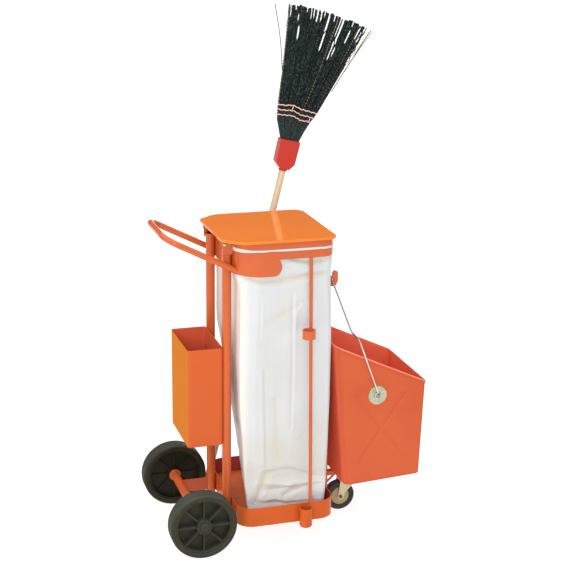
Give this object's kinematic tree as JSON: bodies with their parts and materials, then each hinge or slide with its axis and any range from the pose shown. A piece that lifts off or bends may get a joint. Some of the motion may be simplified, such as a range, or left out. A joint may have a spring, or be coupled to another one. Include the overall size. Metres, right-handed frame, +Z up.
{
  "type": "janitorial cart",
  "caption": "Wheeled steel cleaning cart with a lidded bag hoop, tall white bag, push handle, rear tool bin, hanging sheet-metal pan, front castor and an upright broom.",
  "frame": {"origin": "middle of the overall box on the ground", "axes": "+X towards the hanging pan at the front, +Y to the cart's left (broom side), +Z up"},
  "size_m": [0.8084, 0.4644, 1.5601],
  "materials": {
    "orange_paint": "semi-gloss enamel",
    "coral_paint": "semi-gloss enamel",
    "zinc": "zinc plated",
    "yellow_zinc": "yellow passivated zinc",
    "black_plastic": "matte",
    "wheel_plastic": "matte moulded",
    "tyre_rubber": "matte rubber",
    "castor_rubber": "matte rubber",
    "castor_plastic": "matte",
    "bag_vinyl": "soft vinyl-coated cloth",
    "stick_wood": "varnished",
    "ferrule_red": "enamel",
    "bristle": "dark plastic strands",
    "stitch": "cord"
  },
  "bodies": {
    "frame": {"post_right": "orange_paint", "post_left": "orange_paint", "post_plugs": "black_plastic", "push_handle": "orange_paint", "bag_hoop": "orange_paint", "hinge_ears": "orange_paint", "hinge_bolts": "zinc", "hinge_nuts": "zinc", "base_tray": "orange_paint", "tray_floor": "orange_paint", "axle_tube": "orange_paint", "axle_flanges": "orange_paint", "axle_shaft": "zinc", "axle_caps": "black_plastic", "axle_arms": "orange_paint", "side_rod_right": "orange_paint", "side_rod_left": "orange_paint", "front_rod_right": "orange_paint", "front_rod_left": "orange_paint", "tool_ring_right": "orange_paint", "tool_ring_left": "orange_paint", "tool_cup_right": "orange_paint", "broom_socket": "orange_paint", "bail_hooks": "orange_paint", "castor_arm": "orange_paint", "castor_strut": "orange_paint", "castor_plate": "orange_paint", "castor_bolts": "zinc", "castor_nuts": "zinc", "castor_race": "zinc", "castor_kingpin": "zinc", "tool_bin": "orange_paint", "bin_bolts": "zinc", "trash_bag": "bag_vinyl"},
    "wheel_right": {"wheel_core_right": "wheel_plastic", "wheel_tyre_right": "tyre_rubber"},
    "wheel_left": {"wheel_core_left": "wheel_plastic", "wheel_tyre_left": "tyre_rubber"},
    "castor_fork": {"castor_fork": "yellow_zinc", "castor_axle": "zinc", "castor_axle_nut": "zinc"},
    "castor_wheel": {"castor_wheel_core": "castor_plastic", "castor_tyre": "castor_rubber"},
    "clamp_ring": {"clamp_ring": "orange_paint"},
    "lid": {"lid": "orange_paint", "lid_tabs": "orange_paint"},
    "bail_grip": {"bail_grip": "black_plastic"},
    "bail": {"bail_wire": "zinc"},
    "pan": {"pan": "coral_paint", "pivot_discs": "zinc", "pivot_pins": "zinc", "disc_rivets": "zinc"},
    "broom": {"broom_stick": "stick_wood", "broom_ferrule": "ferrule_red", "broom_bristles": "bristle", "broom_stitching": "stitch"}
  },
  "joints": [
    {"name": "wheel_right_spin", "type": "hinge", "parent": "frame", "child": "wheel_right", "pos_m": [-0.30423, -0.196, 0.1], "axis": [0, 1, 0], "continuous": true},
    {"name": "wheel_left_spin", "type": "hinge", "parent": "frame", "child": "wheel_left", "pos_m": [-0.30423, 0.196, 0.1], "axis": [0, 1, 0], "continuous": true},
    {"name": "castor_swivel", "type": "hinge", "parent": "frame", "child": "castor_fork", "pos_m": [0.21377, 0, 0.102], "axis": [0, 0, 1], "continuous": true},
    {"name": "castor_spin", "type": "hinge", "parent": "castor_fork", "child": "castor_wheel", "pos_m": [0.18627, 0, 0.0475], "axis": [0, 1, 0], "continuous": true},
    {"name": "ring_hinge", "type": "hinge", "parent": "frame", "child": "clamp_ring", "pos_m": [-0.21573, 0, 0.9185], "axis": [0, -1, 0], "range_deg": [0, 30]},
    {"name": "lid_hinge", "type": "hinge", "parent": "clamp_ring", "child": "lid", "pos_m": [-0.21573, 0, 0.9185], "axis": [0, -1, 0], "range_deg": [0, 80]},
    {"name": "bail_lift", "type": "slide", "parent": "frame", "child": "bail_grip", "axis": [0, 0, 1], "range_m": [0, 0.04]},
    {"name": "bail_swing", "type": "hinge", "parent": "bail_grip", "child": "bail", "pos_m": [0.10697, 0, 0.79295], "axis": [0, -1, 0], "range_deg": [0, 55]},
    {"name": "pan_tilt", "type": "hinge", "parent": "bail", "child": "pan", "pos_m": [0.24617, 0, 0.4326], "axis": [0, 1, 0], "range_deg": [0, 6]},
    {"name": "broom_slide", "type": "slide", "parent": "frame", "child": "broom", "axis": [0.2315, -0.0077, 0.9728], "range_m": [0, 0.7]}
  ]
}
